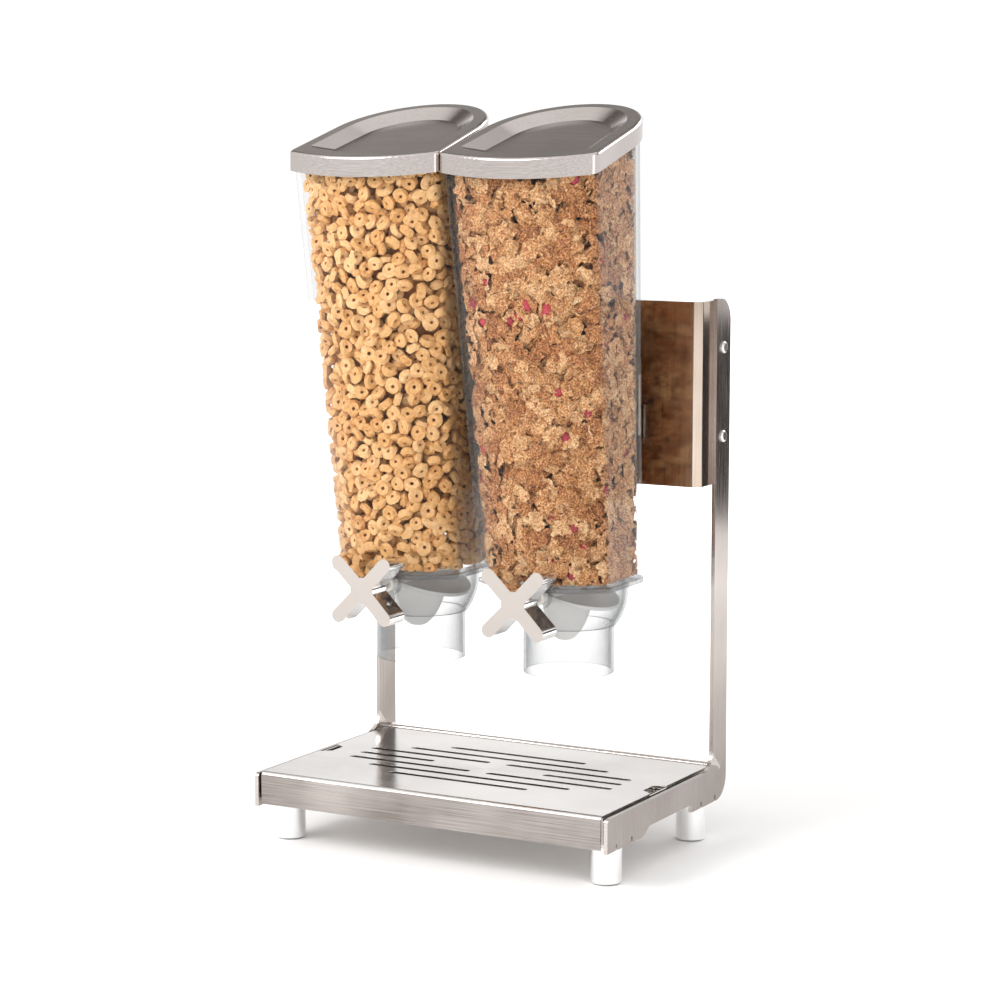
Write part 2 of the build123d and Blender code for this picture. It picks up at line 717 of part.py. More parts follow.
def lid_gasket():
    """Flat ring between the canister's mouth and the lid."""
    top = below_lid_plane(lid_height - lid_sheet)
    inset = lid_bead - lid_sheet + gasket_edge_gap
    ring = upright_lid_block(-inset) & top
    ring -= below_lid_plane(lid_height - lid_sheet - gasket_thickness)
    return ring - upright_lid_block(-inset - gasket_width)


parts = {
    "left_side_frame": side_frame(-1),
    "right_side_frame": side_frame(1),
    "cross_rod": cross_rod(),
    "rod_ferrules": rod_ferrules(),
    "back_bracket": back_bracket(),
    "left_bracket_rivets": bracket_rivets(-1),
    "right_bracket_rivets": bracket_rivets(1),
    "hanger_screws": hanger_screws(),
    "crumb_tray": crumb_tray(),
    "tray_cover": tray_cover(),
}
foot_places = {"front_left": (-foot_x, foot_y[0]), "front_right": (foot_x, foot_y[0]),
               "rear_left": (-foot_x, foot_y[1]), "rear_right": (foot_x, foot_y[1])}
for name, (x, y) in foot_places.items():
    parts[name + "_foot"] = Pos(x, y, 0) * foot()
parts["foot_pads"] = Compound([Pos(x, y, 0) * foot_pad() for x, y in foot_places.values()])
parts["foot_screws"] = Compound([Pos(x, y, arm_bottom) * foot_screw(foot_screw_length)
                                 for x, y in foot_places.values()])
each_side = {"hanger": hanger, "canister": canister_body, "canister_hook": canister_hook,
             "hook_screws": hook_screws, "wheel_housing": wheel_housing, "outlet_spout": outlet_spout,
             "front_bush": front_bush, "rear_bush": rear_bush, "drive_shaft": drive_shaft,
             "retaining_ring": retaining_ring, "paddle_wheel": paddle_wheel, "knob": knob,
             "knob_set_screw": knob_set_screw, "lid_cover": lid_cover, "lid_gasket": lid_gasket}
for node, make in each_side.items():
    shape = make()
    for side, x in zip(("left", "right"), canister_centres()):
        parts[side + "_" + node] = Pos(x, 0, 0) * shape

os.makedirs("parts", exist_ok=True)
for name, shape in parts.items():
    export_step(shape, "parts/" + name + ".step")
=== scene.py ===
import bpy
import json
import math
import random
from mathutils import Euler, Matrix, Vector
from mathutils.bvhtree import BVHTree


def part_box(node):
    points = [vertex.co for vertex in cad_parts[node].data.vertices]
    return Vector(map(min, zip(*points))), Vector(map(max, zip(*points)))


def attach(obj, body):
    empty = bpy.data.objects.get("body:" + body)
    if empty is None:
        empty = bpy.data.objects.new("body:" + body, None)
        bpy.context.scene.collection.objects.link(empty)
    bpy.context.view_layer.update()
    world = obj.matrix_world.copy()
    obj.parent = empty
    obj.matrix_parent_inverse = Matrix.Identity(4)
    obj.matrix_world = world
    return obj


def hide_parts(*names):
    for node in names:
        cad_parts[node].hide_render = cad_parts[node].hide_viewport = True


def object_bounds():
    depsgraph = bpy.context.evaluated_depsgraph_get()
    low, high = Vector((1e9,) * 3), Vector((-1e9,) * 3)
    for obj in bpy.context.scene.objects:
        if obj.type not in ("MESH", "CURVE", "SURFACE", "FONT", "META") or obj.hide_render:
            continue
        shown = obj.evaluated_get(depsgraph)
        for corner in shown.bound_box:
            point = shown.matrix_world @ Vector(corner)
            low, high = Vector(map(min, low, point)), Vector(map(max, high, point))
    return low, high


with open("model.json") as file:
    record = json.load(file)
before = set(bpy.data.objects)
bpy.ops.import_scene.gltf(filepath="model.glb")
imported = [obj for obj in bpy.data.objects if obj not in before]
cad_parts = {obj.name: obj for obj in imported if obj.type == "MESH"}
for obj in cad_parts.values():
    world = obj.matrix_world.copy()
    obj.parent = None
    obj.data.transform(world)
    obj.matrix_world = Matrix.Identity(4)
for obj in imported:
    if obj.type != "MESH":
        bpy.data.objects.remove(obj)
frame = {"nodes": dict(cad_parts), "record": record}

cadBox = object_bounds()
mm = 0.001
random.seed(11)

nodeBody = {}
for bodyName, bodyNodes in frame["record"]["behaviour"]["bodies"].items():
    for nodeName in bodyNodes:
        nodeBody[nodeName] = bodyName
nodeSlot = {entry["node"]: entry["material_slot"] for entry in frame["record"]["subparts"]}
print("frame loaded:", len(nodeBody), "nodes")


def hexColor(code):
    # sRGB hex to the linear values that the shaders take
    channels = [int(code[i:i + 2], 16) / 255 for i in (1, 3, 5)]
    linear = [c / 12.92 if c <= 0.04045 else ((c + 0.055) / 1.055) ** 2.4 for c in channels]
    return (*linear, 1.0)


def addNode(material, kind, inputs=None, **settings):
    # adds a node; an input given as a socket is linked, anything else is a value
    node = material.node_tree.nodes.new(kind)
    for key, value in settings.items():
        setattr(node, key, value)
    for key, value in (inputs or {}).items():
        if isinstance(value, bpy.types.NodeSocket):
            material.node_tree.links.new(value, node.inputs[key])
        else:
            node.inputs[key].default_value = value
    return node


def newMaterial(name, **values):
    material = bpy.data.materials.new(name)
    material.use_nodes = True
    shader = material.node_tree.nodes["Principled BSDF"]
    for key, value in values.items():
        shader.inputs[key.replace("_", " ")].default_value = value
    return material, shader


def plug(material, socket, target):
    material.node_tree.links.new(socket, target)


def selectOnly(piece):
    bpy.ops.object.select_all(action="DESELECT")
    piece.select_set(True)
    bpy.context.view_layer.objects.active = piece


def ramp(material, factor, stops):
    node = addNode(material, "ShaderNodeValToRGB", {"Fac": factor})
    while len(node.color_ramp.elements) < len(stops):
        node.color_ramp.elements.new(0.5)
    for element, (place, code) in zip(node.color_ramp.elements, stops):
        element.position = place
        element.color = hexColor(code)
    return node.outputs["Color"]


# in mm: the width and length of a drawn scratch, and the depth of its bump
brushing = {"width": 0.7, "length": 60.0, "depth": 0.05, "strength": 0.10, "cloudScale": 18.0}


def brushedSteel(name, light, dark, grain, roughness, anisotropic=0.6):
    # stainless sheet, belt brushed: fine straight scratches that stretch every highlight.
    # The real scratches are about 0.1 mm wide, and are drawn wider so that they show.
    material, shader = newMaterial(name, Metallic=1.0, Roughness=roughness, Anisotropic=anisotropic)
    where = addNode(material, "ShaderNodeTexCoord").outputs["Object"]
    scratchScale = [1 / (brushing["width"] * mm)] * 3
    scratchScale["XYZ".index(grain)] = 1 / (brushing["length"] * mm)
    mapped = addNode(material, "ShaderNodeMapping", {"Vector": where, "Scale": scratchScale})
    scratches = addNode(material, "ShaderNodeTexNoise",
                        {"Vector": mapped.outputs["Vector"], "Scale": 1.0, "Detail": 3.0})
    cloud = addNode(material, "ShaderNodeTexNoise",
                    {"Vector": where, "Scale": brushing["cloudScale"], "Detail": 2.0})
    both = addNode(material, "ShaderNodeMath",
                   {0: scratches.outputs["Fac"], 1: cloud.outputs["Fac"]}, operation="ADD")
    tone = addNode(material, "ShaderNodeMapRange",
                   {"Value": both.outputs[0], "From Min": 0.7, "From Max": 1.3})
    plug(material, ramp(material, tone.outputs[0], [(0.0, dark), (1.0, light)]),
         shader.inputs["Base Color"])
    rough = addNode(material, "ShaderNodeMapRange",
                    {"Value": scratches.outputs["Fac"], "From Min": 0.3, "From Max": 0.7,
                     "To Min": roughness * 0.75, "To Max": roughness * 1.35})
    plug(material, rough.outputs[0], shader.inputs["Roughness"])
    bump = addNode(material, "ShaderNodeBump",
                   {"Height": scratches.outputs["Fac"], "Strength": brushing["strength"],
                    "Distance": brushing["depth"] * mm})
    plug(material, bump.outputs["Normal"], shader.inputs["Normal"])
    return material


def smoothMetal(name, color, roughness, grit):
    # cast and turned metal with a satin or polished skin; grit is the size of its grain in mm
    material, shader = newMaterial(name, Base_Color=hexColor(color), Metallic=1.0,
                                   Roughness=roughness)
    where = addNode(material, "ShaderNodeTexCoord").outputs["Object"]
    grain = addNode(material, "ShaderNodeTexNoise",
                    {"Vector": where, "Scale": 1 / (grit * mm), "Detail": 2.0})
    rough = addNode(material, "ShaderNodeMapRange",
                    {"Value": grain.outputs["Fac"], "To Min": roughness * 0.7,
                     "To Max": roughness * 1.4})
    plug(material, rough.outputs[0], shader.inputs["Roughness"])
    bump = addNode(material, "ShaderNodeBump", {"Height": grain.outputs["Fac"],
                                               "Strength": 0.05, "Distance": 0.05 * mm})
    plug(material, bump.outputs["Normal"], shader.inputs["Normal"])
    return material


def clearPolycarbonate(name, color, faceOn, edgeOn, falloff):
    # injection moulded polycarbonate: clear face on and grey where it is seen along its wall; the
    # grey is painted reflection of darker surroundings. Slow flow waves wobble its highlights
    material, shader = newMaterial(name, Base_Color=hexColor(color), Roughness=0.05, IOR=1.58)
    facing = addNode(material, "ShaderNodeLayerWeight", {"Blend": 0.5})
    curve = addNode(material, "ShaderNodeMath", {0: facing.outputs["Facing"], 1: falloff},
                    operation="POWER")
    greyReflectionVeil = addNode(material, "ShaderNodeMapRange",
                   {"Value": curve.outputs[0], "To Min": faceOn, "To Max": edgeOn})
    where = addNode(material, "ShaderNodeTexCoord").outputs["Object"]
    flow = addNode(material, "ShaderNodeTexNoise", {"Vector": where, "Scale": 22.0, "Detail": 1.0})
    bump = addNode(material, "ShaderNodeBump", {"Height": flow.outputs["Fac"],
                                               "Strength": 0.12, "Distance": 0.4 * mm})
    plug(material, bump.outputs["Normal"], shader.inputs["Normal"])
    plug(material, greyReflectionVeil.outputs[0], shader.inputs["Alpha"])
    return material


def moulded(name, color, roughness, alpha=1.0, subsurface=0.0):
    # rubbers and plastics out of a mould, with the faint 0.6 mm texture of its steel
    material, shader = newMaterial(name, Base_Color=hexColor(color), Roughness=roughness,
                                   Alpha=alpha, Subsurface_Weight=subsurface)
    shader.inputs["Subsurface Radius"].default_value = (4 * mm, 3.6 * mm, 3.2 * mm)
    where = addNode(material, "ShaderNodeTexCoord").outputs["Object"]
    grain = addNode(material, "ShaderNodeTexNoise",
                    {"Vector": where, "Scale": 1 / (0.6 * mm), "Detail": 2.0})
    bump = addNode(material, "ShaderNodeBump", {"Height": grain.outputs["Fac"],
                                               "Strength": 0.08, "Distance": 0.1 * mm})
    plug(material, bump.outputs["Normal"], shader.inputs["Normal"])
    return material


def cereal(name, stops, grit, bumpDepth, roughness, toneShare):
    # baked grain: matt, mottled, darker where it browned; toneShare is how much whole pieces differ
    material, shader = newMaterial(name, Roughness=roughness, Subsurface_Weight=0.12)
    shader.inputs["Subsurface Radius"].default_value = (1.6 * mm, 1.0 * mm, 0.5 * mm)
    where = addNode(material, "ShaderNodeTexCoord").outputs["Object"]
    mottle = addNode(material, "ShaderNodeTexNoise",
                     {"Vector": where, "Scale": 1 / (grit * mm), "Detail": 4.0, "Roughness": 0.65})
    speckle = addNode(material, "ShaderNodeMapRange",
                      {"Value": mottle.outputs["Fac"], "From Min": 0.34, "From Max": 0.66,
                       "To Max": 1 - toneShare})
    tone = addNode(material, "ShaderNodeAttribute", attribute_name="tone")
    share = addNode(material, "ShaderNodeMath",
                    {0: tone.outputs["Fac"], 1: toneShare, 2: speckle.outputs[0]},
                    operation="MULTIPLY_ADD")
    plug(material, ramp(material, share.outputs[0], stops), shader.inputs["Base Color"])
    bump = addNode(material, "ShaderNodeBump", {"Height": mottle.outputs["Fac"],
                                               "Strength": 1.0, "Distance": bumpDepth * mm})
    plug(material, bump.outputs["Normal"], shader.inputs["Normal"])
    return material


finishes = {
    "brushed_stainless_frame": brushedSteel("brushed stainless plate", "#d8d1cc", "#bab2ad", "Y",
                                            0.26),
    "stainless_sheet": brushedSteel("brushed stainless sheet", "#eeebe8", "#dcd6d2", "X", 0.17),
    "lid_stainless": brushedSteel("polished stainless lid", "#cdc5c1", "#bdb4af", "X", 0.15, 0.4),
    "turned_stainless": smoothMetal("turned stainless", "#dad6d3", 0.22, 0.8),
    "satin_aluminium": smoothMetal("satin anodised aluminium", "#f6f6f6", 0.36, 0.7),
    "satin_zinc_knob": smoothMetal("satin zinc alloy", "#aea7a2", 0.36, 0.6),
    "clear_polycarbonate": clearPolycarbonate("clear polycarbonate", "#868c8f", 0.015, 0.9, 4.0),
    "white_silicone": moulded("translucent white silicone", "#f3f2f0", 0.45, 0.93, 0.3),
    "clear_silicone": moulded("clear silicone", "#e8e8e6", 0.4, 0.7),
    "white_nylon": moulded("white nylon", "#eeece8", 0.4, 1.0, 0.1),
    "black_rubber": moulded("black rubber", "#1c1c1c", 0.7),
}
# a darker copy of the plate's steel for its upright part: painted shade
shadedUprightSteel = brushedSteel("brushed stainless upright, painted shade", "#aea6a1", "#948b86", "Z", 0.22)
# a darker copy of the cover's steel for its front face: painted shade
shadedApronSteel = brushedSteel("brushed stainless apron, painted shade", "#b8b1ad", "#837b77", "X", 0.32)
bracketSteel = brushedSteel("brushed stainless bracket", "#bfb0a4", "#a69688", "Z", 0.13)
# the spout and its bowl: a darker grey veil that shows face on too, painted reflection
spoutClear = clearPolycarbonate("clear polycarbonate spout", "#646a6d", 0.13, 0.92, 2.2)
knobPolish = smoothMetal("polished zinc alloy", "#efebe8", 0.07, 1.5)
print("materials made:", len(finishes) + 4)


# the edge rounds, in mm, go by the ending of a node's name; angles are in degrees
finishing = {
    "bevel": {"side_frame": 0.35, "tray_cover": 0.18, "knob": 0.7, "foot": 0.4, "back_bracket": 0.3,
              "lid_cover": 0.4, "outlet_spout": 0.4, "wheel_housing": 0.25, "paddle_wheel": 0.6},
    "roundAngle": 38, "lidRoundAngle": 18, "mergeGap": 0.002, "flatAngle": 0.6,
    "elbowRise": 12.0, "apronArea": 100.0,
}


def refine(node):
    # a merged, smooth-shaded copy that stands for the CAD node
    source = frame["nodes"][node]
    piece = bpy.data.objects.new(node + "_finish", source.data.copy())
    bpy.context.collection.objects.link(piece)
    piece.data.materials.clear()
    piece.data.materials.append(finishes[nodeSlot[node]])
    selectOnly(piece)
    bpy.ops.object.mode_set(mode="EDIT")
    bpy.ops.mesh.select_all(action="SELECT")
    bpy.ops.mesh.remove_doubles(threshold=finishing["mergeGap"] * mm)
    bpy.ops.mesh.dissolve_limited(angle_limit=math.radians(finishing["flatAngle"]))
    bpy.ops.object.mode_set(mode="OBJECT")
    # the lid's dish is shallow, so its folds are sharper than they are steep
    angle = math.radians(finishing["lidRoundAngle" if node.endswith("lid_cover") else "roundAngle"])
    for ending, width in finishing["bevel"].items():
        if node.endswith(ending):
            bevel = piece.modifiers.new("edges", "BEVEL")
            bevel.width = width * mm
            bevel.segments = 2
            bevel.limit_method = "ANGLE"
            bevel.angle_limit = angle
            bpy.ops.object.modifier_apply(modifier="edges")
    bpy.ops.object.shade_smooth_by_angle(angle=angle)
    even = piece.modifiers.new("normals", "WEIGHTED_NORMAL")
    even.keep_sharp = True
    bpy.ops.object.modifier_apply(modifier="normals")
    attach(piece, nodeBody[node])
    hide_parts(node)
    return piece


refined = {node: refine(node) for node in nodeBody}
for side in ("left", "right"):
    refined[side + "_outlet_spout"].data.materials[0] = spoutClear
    refined[side + "_wheel_housing"].data.materials[0] = spoutClear
    knobMesh = refined[side + "_knob"].data
    knobMesh.materials.append(knobPolish)
    for face in knobMesh.polygons:
        face.material_index = 0 if face.normal.y < -0.9 else 1
    frameMesh = refined[side + "_side_frame"].data
    # faces above the elbow get the darker copy of the steel: painted shade on the upright
    frameMesh.materials.append(shadedUprightSteel)
    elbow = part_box("tray_cover")[1].z + finishing["elbowRise"] * mm
    for face in frameMesh.polygons:
        face.material_index = 1 if face.center.z > elbow else 0
refined["back_bracket"].data.materials[0] = bracketSteel
coverMesh = refined["tray_cover"].data
coverMesh.materials.append(shadedApronSteel)
# broad faces that face the front get the darker copy: painted shade
for face in coverMesh.polygons:
    broad = face.area > finishing["apronArea"] * mm * mm
    face.material_index = 1 if face.normal.y < -0.8 and broad else 0
print("CAD nodes refined:", len(refined))


# in mm; the cereal's level rises towards the rear by mouthRise, like the tilted lid
hopper = {
    "axisY": -12.0, "floor": 203.5, "floorGap": -0.5, "innerReach": 30.0,
    "wheelClear": 4.5, "wheelGap": 1.0, "wallGap": 0.6,
    "mouthFront": -87.7, "mouthRear": 44.0, "mouthRise": 0.27,
}
wheelCentre = {}
for side in ("left", "right"):
    low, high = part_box(side + "_outlet_spout")
    wheelCentre[side] = (low + high) / 2
    wheelCentre[side].z = sum(corner.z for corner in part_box(side + "_drive_shaft")) / 2
wheelReach = max((vertex.co - wheelCentre["left"]).length
                 for vertex in frame["nodes"]["left_paddle_wheel"].data.vertices)


neighbours = [(a, b, c) for a in (-1, 0, 1) for b in (-1, 0, 1) for c in (-1, 0, 1)]
patience = 600


def wallTree(side):
    # the hopper and its bowl, for finding the nearest inner wall
    vertices, faces = [], []
    for part in ("_canister", "_wheel_housing"):
        mesh = frame["nodes"][side + part].data
        offset = len(vertices)
        vertices += [vertex.co.copy() for vertex in mesh.vertices]
        faces += [[index + offset for index in face.vertices] for face in mesh.polygons]
    return BVHTree.FromPolygons(vertices, faces)


def fillAt(fill, depth):
    # how high the cereal stands at a place depth from front to rear
    return fill * mm + (depth - hopper["mouthFront"] * mm) * hopper["mouthRise"]


def wallPoint(tree, axisX, fill, depths):
    # a point at a random bearing and depth inside the hopper's wall, with the wall's inward normal
    height = random.uniform(hopper["floor"] * mm, fillAt(fill, hopper["mouthRear"] * mm))
    centre = Vector((axisX, hopper["axisY"] * mm, height))
    bearing = random.uniform(0, 2 * math.pi)
    outward = Vector((math.cos(bearing), math.sin(bearing), 0))
    hit = tree.ray_cast(centre, outward)
    if hit[0] is None:
        return None
    point = hit[0] - outward * random.uniform(depths[0], depths[1] * 1.6)
    nearest = tree.find_nearest(point)
    if not depths[0] < nearest[3] < depths[1] or height > fillAt(fill, point.y):
        return None
    return point, (point - nearest[0]).normalized()


def packLayer(side, tree, fill, depths, spacing, placed):
    # throws darts at one layer beside the wall, each at least spacing from the others
    centre = wheelCentre[side]
    grid = {}
    made = []
    misses = 0

    def cellOf(point):
        return tuple(int(math.floor(c / spacing)) for c in point)

    def crowded(point):
        cell = cellOf(point)
        for step in neighbours:
            for other in grid.get(tuple(a + b for a, b in zip(cell, step)), ()):
                if (point - other).length < spacing:
                    return True
        return False

    for point in placed:
        grid.setdefault(cellOf(point), []).append(point)
    while misses < patience:  # this many misses in a row mean that the layer is full
        misses += 1
        found = wallPoint(tree, centre.x, fill, depths)
        if found is None or crowded(found[0]):
            continue
        if (found[0] - centre).length < wheelReach + hopper["wheelClear"] * mm:
            continue
        grid.setdefault(cellOf(found[0]), []).append(found[0])
        placed.append(found[0])
        made.append(found)
        misses = 0
    return made


def takeMesh(piece):
    # keeps the mesh of a shaped primitive as a base for copies, and drops its object
    mesh = piece.data
    bpy.data.objects.remove(piece, do_unlink=True)
    return mesh


# in mm; a layer is its nearest and furthest depth from the wall, its spacing, and how flat its
# pieces lie against the wall; fill is the level at the front of the mouth
ring = {
    "diameter": 13.0, "thickness": 5.7, "lumps": 0.035, "around": 11, "across": 5,
    "fill": 488.0, "sizes": (0.9, 1.08),
    "layers": [(3.1, 4.6, 7.9, 0.5), (6.2, 8.8, 7.7, 0.25), (10.5, 13.5, 8.2, 0.1)],
}


def ringBase():
    # a puffed ring, slightly oval and lumpy, with a small hole
    outer = ring["diameter"] * mm / 2
    tube = ring["thickness"] * mm / 2
    bpy.ops.object.select_all(action="DESELECT")
    bpy.ops.mesh.primitive_torus_add(major_segments=ring["around"], minor_segments=ring["across"],
                                     major_radius=outer - tube, minor_radius=tube)
    piece = bpy.context.object
    oval = Vector((1.0, random.uniform(0.86, 1.0), random.uniform(0.9, 1.12)))
    for vertex in piece.data.vertices:
        vertex.co = vertex.co * oval * (1 + random.gauss(0, ring["lumps"]))
    return takeMesh(piece)


# size and thickness in mm, and the rest as shares of the flake's size; layers as for the rings
flake = {
    "size": 21.0, "thickness": 1.0, "halfWidth": 0.40, "corners": 0.42, "ragged": 0.12,
    "curl": 0.14, "blisters": 0.075, "fill": 484.0,
    "layers": [(2.2, 5.0, 7.6, 0.72), (5.5, 8.5, 8.0, 0.4), (9.5, 13.5, 8.4, 0.2)],
}


def flakeBase():
    # a torn, curled and blistered flake: a grid trimmed to a ragged oval, then given its thickness
    size = flake["size"] * mm * random.uniform(0.75, 1.1)
    bpy.ops.object.select_all(action="DESELECT")
    bpy.ops.mesh.primitive_grid_add(x_subdivisions=6, y_subdivisions=5, size=1.0)
    piece = bpy.context.object
    curl = [random.uniform(-1.2, 1.2) for _ in range(3)]
    for vertex in piece.data.vertices:
        x, y = vertex.co.x * 2, vertex.co.y * 2
        rounding = math.sqrt(max(0.0, 1 - flake["corners"] * min(x * x, y * y)))
        ragged = 1 + random.gauss(0, flake["ragged"])
        bend = curl[0] * x * x + curl[1] * y * y + curl[2] * x * y
        height = flake["curl"] * bend + random.gauss(0, flake["blisters"])
        vertex.co = (x * rounding * ragged * size / 2,
                     y * rounding * ragged * size * flake["halfWidth"], height * size)
    thick = piece.modifiers.new("thickness", "SOLIDIFY")
    thick.thickness = flake["thickness"] * mm
    bpy.ops.object.modifier_apply(modifier="thickness")
    return takeMesh(piece)


# radius in mm; one flake in twenty of the outer layer has a berry beside it
berry = {"radius": 4.6, "shape": (1.0, 0.75, 0.45), "lumps": 0.12, "share": 0.05}


def berryBase():
    # a shrivelled slice of berry
    bpy.ops.object.select_all(action="DESELECT")
    bpy.ops.mesh.primitive_ico_sphere_add(subdivisions=2, radius=berry["radius"] * mm)
    piece = bpy.context.object
    for vertex in piece.data.vertices:
        vertex.co = vertex.co * Vector(berry["shape"]) * (1 + random.gauss(0, berry["lumps"]))
    return takeMesh(piece)


def turnFor(normal, flatness):
    # a turn whose local Z leans towards the wall's normal, more so as flatness goes to 1
    loose = Vector([random.gauss(0, 1) for _ in range(3)]).normalized()
    axis = (normal * flatness + loose * (1 - flatness)).normalized()
    spin = Euler((0, 0, random.uniform(0, 2 * math.pi))).to_matrix()
    return axis.to_track_quat("Z", "Y").to_matrix() @ spin


def pressInside(piece, side, tree):
    # flattens whatever would stick through the hopper's wall, its floor or the turning wheel
    wheel = wheelCentre[side]
    clear = wheelReach + hopper["wheelGap"] * mm
    for vertex in piece.data.vertices:
        place = vertex.co
        place.z = max(place.z, (hopper["floor"] + hopper["floorGap"]) * mm)
        centre = Vector((wheel.x, hopper["axisY"] * mm, place.z))
        outward = place - centre
        reach = outward.length
        hit = tree.ray_cast(centre, outward.normalized())
        if reach > hopper["innerReach"] * mm and hit[0] is not None:
            room = hit[3] - hopper["wallGap"] * mm
            if room < reach:
                place.xy = (centre + outward * (room / reach)).xy
        away = place - wheel
        if away.length < clear:
            place = wheel + away * (clear / away.length)
        vertex.co = place


def joinCopies(name, side, tree, bases, places, flatness, material, sizes):
    # one copy of a base for each place, turned, toned and joined into a single piece
    bpy.ops.object.select_all(action="DESELECT")
    for point, normal in places:
        mesh = random.choice(bases).copy()
        turn = turnFor(normal, flatness).to_4x4()
        mesh.transform(Matrix.Translation(point) @ turn @ Matrix.Scale(random.uniform(*sizes), 4))
        tone = mesh.attributes.new("tone", "FLOAT", "POINT")
        tone.data.foreach_set("value", [random.random()] * len(mesh.vertices))
        piece = bpy.data.objects.new(name, mesh)
        bpy.context.collection.objects.link(piece)
        piece.select_set(True)
        bpy.context.view_layer.objects.active = piece
    bpy.ops.object.join()
    piece = bpy.context.object
    piece.name = name
    pressInside(piece, side, tree)
    bpy.ops.object.shade_smooth_by_angle(angle=math.radians(50))
    piece.data.materials.clear()
    piece.data.materials.append(material)
    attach(piece, side + "_canister")
    print(name, len(places), "copies", len(piece.data.polygons), "faces")


# in mm, apart from the counts
heart = {"levels": 26, "around": 40, "inset": 15.0, "aboveWheel": 6.0, "belowFill": 10.0}


def makeCore(side, tree, fill, material):
    # a solid in the colour of the cereal in shade, painted shade for the heart behind the layers
    # that show; its foot stays above the wheel
    levels = heart["levels"]
    axisX = wheelCentre[side].x
    low = wheelCentre[side].z + wheelReach + heart["aboveWheel"] * mm
    bpy.ops.object.select_all(action="DESELECT")
    top = (fill - heart["belowFill"]) * mm
    bpy.ops.mesh.primitive_cylinder_add(vertices=heart["around"], radius=1.0, depth=top - low,
                                        location=(axisX, hopper["axisY"] * mm, (top + low) / 2))
    piece = bpy.context.object
    piece.name = side + "_cereal_heart"
    bpy.ops.object.transform_apply(location=True, rotation=True, scale=True)
    bpy.ops.object.mode_set(mode="EDIT")
    for level in range(1, levels):
        bpy.ops.mesh.select_all(action="SELECT")
        bpy.ops.mesh.bisect(plane_co=(0, 0, low + (top - low) * level / levels), plane_no=(0, 0, 1))
    bpy.ops.object.mode_set(mode="OBJECT")
    for vertex in piece.data.vertices:
        centre = Vector((axisX, hopper["axisY"] * mm, vertex.co.z))
        direction = (vertex.co - centre).normalized()
        hit = tree.ray_cast(centre, direction)
        vertex.co = centre + direction * (hit[3] - heart["inset"] * mm)
        share = (vertex.co.z - low) / (top - low)
        vertex.co.z += share * (fillAt(fill, vertex.co.y) - fill * mm)
    piece.data.materials.append(material)
    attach(piece, side + "_canister")


toastedOat = cereal("toasted oat ring",
                    [(0.0, "#a4662c"), (0.25, "#cb9556"), (0.6, "#d5a76f"), (1.0, "#e3be8c")],
                    2.2, 0.7, 0.6, 0.45)
branFlake = cereal("toasted bran flake",
                   [(0.0, "#38170a"), (0.28, "#995626"), (0.52, "#c88b50"), (0.9, "#f3d2a4")],
                   1.3, 1.8, 0.45, 0.35)
driedBerry = cereal("freeze dried strawberry",
                    [(0.0, "#560a18"), (0.5, "#98182c"), (1.0, "#c03e4a")],
                    1.5, 0.6, 0.5, 0.4)
# the hearts' colours are the cereals' colours in shade: painted shade on a plain matt solid
ringShadeCore = moulded("shaded oat rings", "#9a6a38", 0.9)
flakeShadeCore = moulded("shaded bran flakes", "#3c1e0c", 0.9)

leftTree = wallTree("left")
ringBases = [ringBase() for _ in range(6)]
placed = []
for number, (near, far, spacing, flatness) in enumerate(ring["layers"]):
    layer = packLayer("left", leftTree, ring["fill"], (near * mm, far * mm), spacing * mm, placed)
    joinCopies("left_rings_" + str(number + 1), "left", leftTree, ringBases, layer, flatness,
               toastedOat, ring["sizes"])
makeCore("left", leftTree, ring["fill"], ringShadeCore)

rightTree = wallTree("right")
flakeBases = [flakeBase() for _ in range(14)]
placed = []
for number, (near, far, spacing, flatness) in enumerate(flake["layers"]):
    layer = packLayer("right", rightTree, flake["fill"], (near * mm, far * mm), spacing * mm,
                      placed)
    joinCopies("right_flakes_" + str(number + 1), "right", rightTree, flakeBases, layer, flatness,
               branFlake, (0.7, 0.95) if number == 0 else (0.85, 1.1))
    if number == 0:
        berries = [place for place in layer if random.random() < berry["share"]]
joinCopies("right_berries", "right", rightTree, [berryBase() for _ in range(4)], berries, 0.8,
           driedBerry, (0.7, 1.2))
makeCore("right", rightTree, flake["fill"], flakeShadeCore)


studio = {
    "azimuth": 29.0, "elevation": 7.82, "distance": 2.0755, "target": (0.0029, 0.0069, 0.2515),
    "focalPixels": 2837.3, "sensor": 36.0,
    "floorRadius": 6.0, "floorColor": "#f7f6f5", "glowStart": 0.18, "glowFull": 1.3, "glow": 0.9,
    "roomLight": 1.05, "flagPlace": (0.62, 0.72, 0.235), "flagSize": (0.9, 0.2, 1),
}


def makeFloor():
    bpy.ops.object.select_all(action="DESELECT")
    bpy.ops.mesh.primitive_circle_add(vertices=96, radius=studio["floorRadius"], fill_type="NGON",
                                      location=(0, 0, cadBox[0].z))
    floor = bpy.context.object
    floor.name = "studio_floor"
    # matt white vinyl sweep, lit from beneath away from the object so that it has no edge
    material, shader = newMaterial("matt white studio sweep", Roughness=0.6,
                                   Base_Color=hexColor(studio["floorColor"]),
                                   Emission_Color=(1, 1, 1, 1))
    where = addNode(material, "ShaderNodeTexCoord").outputs["Object"]
    reach = addNode(material, "ShaderNodeVectorMath", {0: where}, operation="LENGTH")
    glow = addNode(material, "ShaderNodeMapRange",
                   {"Value": reach.outputs["Value"], "From Min": studio["glowStart"],
                    "From Max": studio["glowFull"], "To Max": studio["glow"]},
                   interpolation_type="SMOOTHSTEP")
    plug(material, glow.outputs[0], shader.inputs["Emission Strength"])
    floor.data.materials.append(material)


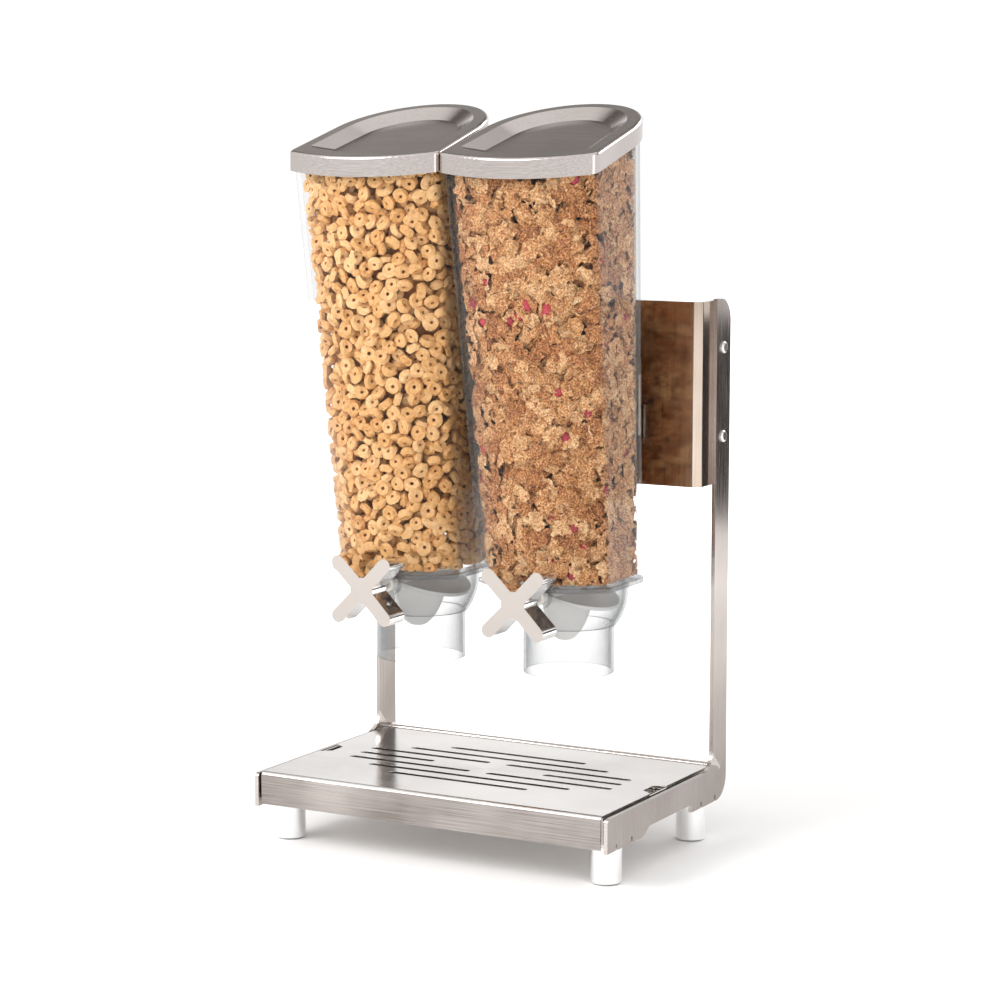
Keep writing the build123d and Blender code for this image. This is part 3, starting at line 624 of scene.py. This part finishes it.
def makeWorld():
    # a white room with a dark band low on its rear ceiling, for bare metal to mirror
    world = bpy.data.worlds.new("studio")
    bpy.context.scene.world = world
    world.use_nodes = True
    background = world.node_tree.nodes["Background"]
    background.inputs["Strength"].default_value = studio["roomLight"]
    direction = addNode(world, "ShaderNodeTexCoord").outputs["Generated"]
    split = addNode(world, "ShaderNodeSeparateXYZ", {0: direction})
    height = addNode(world, "ShaderNodeMapRange", {"Value": split.outputs["Z"], "From Min": -1.0})
    front = ramp(world, height.outputs[0], [(0.0, "#e6e3e0"), (0.5, "#fbfbfb"), (0.72, "#ffffff"),
                                            (0.86, "#ffffff"), (1.0, "#ffffff")])
    back = ramp(world, height.outputs[0], [(0.0, "#e6e3e0"), (0.5, "#ffffff"), (0.64, "#ffffff"),
                                           (0.73, "#8c8884"), (0.82, "#5a5653"), (0.92, "#ffffff")])
    side = addNode(world, "ShaderNodeMapRange", {"Value": split.outputs["Y"], "From Min": 0.0,
                                                 "From Max": 0.35}, interpolation_type="SMOOTHSTEP")
    around = addNode(world, "ShaderNodeMix", data_type="RGBA")
    seen = addNode(world, "ShaderNodeLightPath")
    choose = addNode(world, "ShaderNodeMix", data_type="RGBA")
    links = world.node_tree.links
    # a Mix node's colour sockets are its inputs 6 and 7 and its output 2
    links.new(side.outputs[0], around.inputs[0])
    links.new(front, around.inputs[6])
    links.new(back, around.inputs[7])
    links.new(seen.outputs["Is Camera Ray"], choose.inputs[0])
    links.new(around.outputs[2], choose.inputs[6])
    choose.inputs[7].default_value = (1, 1, 1, 1)
    links.new(choose.outputs[2], background.inputs["Color"])


# each softbox's place, what it points at, and its size, in metres, then its power in watts
softboxes = {
    "key": ((-1.3, -1.8, 1.8), (0, 0, 0.28), (1.4, 1.4), 50),
    "fill": ((1.9, -1.0, 1.1), (0, 0, 0.28), (1.0, 1.6), 6),
    "rim": ((0.6, 1.9, 1.5), (0, 0, 0.3), (1.4, 0.8), 16),
}


def softLight(name, place, target, size, power):
    data = bpy.data.lights.new(name, "AREA")
    data.shape = "RECTANGLE"
    data.size, data.size_y = size
    data.energy = power
    lamp = bpy.data.objects.new(name, data)
    bpy.context.collection.objects.link(lamp)
    lamp.location = place
    lamp.rotation_euler = (Vector(target) - Vector(place)).to_track_quat("-Z", "Y").to_euler()


def makeCamera():
    azimuth, elevation = math.radians(studio["azimuth"]), math.radians(studio["elevation"])
    back = Vector((math.sin(azimuth) * math.cos(elevation),
                   -math.cos(azimuth) * math.cos(elevation), math.sin(elevation)))
    data = bpy.data.cameras.new("camera")
    data.sensor_width = studio["sensor"]
    data.lens = studio["focalPixels"] / 1000 * studio["sensor"]
    camera = bpy.data.objects.new("camera", data)
    bpy.context.collection.objects.link(camera)
    camera.location = Vector(studio["target"]) + back * studio["distance"]
    camera.rotation_euler = back.to_track_quat("Z", "Y").to_euler()
    bpy.context.scene.camera = camera


def darkCard():
    # a grey flag behind the right upright, seen only in the steel, as studios hang for contrast
    bpy.ops.object.select_all(action="DESELECT")
    bpy.ops.mesh.primitive_plane_add(size=1.0, location=studio["flagPlace"],
                                     rotation=(math.pi / 2, 0, 0))
    card = bpy.context.object
    card.name = "studio_flag"
    card.scale = studio["flagSize"]
    # black duvetyne cloth: matt, with no highlight to give it away in the steel
    material, shader = newMaterial("black flag cloth", Base_Color=hexColor("#2a2625"),
                                   Roughness=0.95)
    card.data.materials.append(material)
    card.visible_camera = False
    card.visible_shadow = False


makeFloor()
makeWorld()
darkCard()
for name, lamp in softboxes.items():
    softLight(name, *lamp)
makeCamera()
bpy.context.scene.view_settings.view_transform = "Standard"
print("studio ready")
